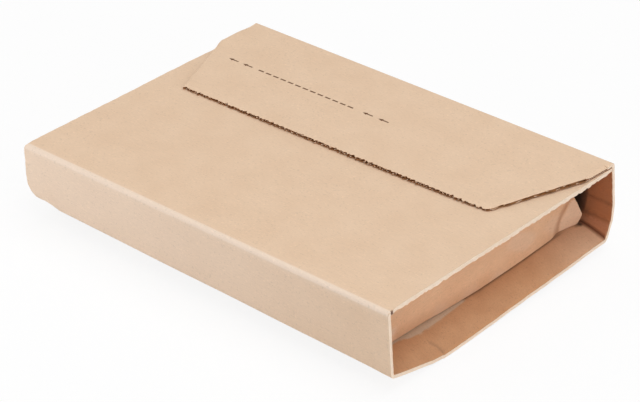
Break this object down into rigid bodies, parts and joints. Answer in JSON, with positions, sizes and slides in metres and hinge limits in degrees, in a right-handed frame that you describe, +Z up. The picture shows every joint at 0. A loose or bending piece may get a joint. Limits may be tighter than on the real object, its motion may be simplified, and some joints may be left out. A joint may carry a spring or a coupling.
{
  "type": "wraparound mailer",
  "caption": "Wraparound corrugated board mailer for books and flat goods, folded shut, with guarded ends and a hinged closing flap.",
  "frame": {"origin": "centre of the bounding box's foot, on the plane that the two end lips stand on", "axes": "+X along the folds, towards the open end that the picture shows; -Y towards the front wall; +Z up, out of the top panel"},
  "size_m": [0.385, 0.2876, 0.0801],
  "materials": {
    "kraft_board": "matte brown kraft liner",
    "kraft_board_inner": "matte brown kraft liner, the darker inner side",
    "hot_melt_adhesive": "tacky translucent film",
    "release_paper": "smooth siliconised paper",
    "tape_film": "smooth film"
  },
  "bodies": {
    "wrap": {"outer_wrap": "kraft_board", "inner_cradle": "kraft_board_inner"},
    "flap": {"closing_flap": "kraft_board", "seal_strip": "hot_melt_adhesive", "release_liner": "release_paper", "tear_tape": "tape_film"}
  },
  "joints": [
    {"name": "flap_fold", "type": "hinge", "parent": "wrap", "child": "flap", "pos_m": [0, 0.13982, 0.07875], "axis": [-1, 0, -0.007], "range_deg": [0, 150]}
  ]
}
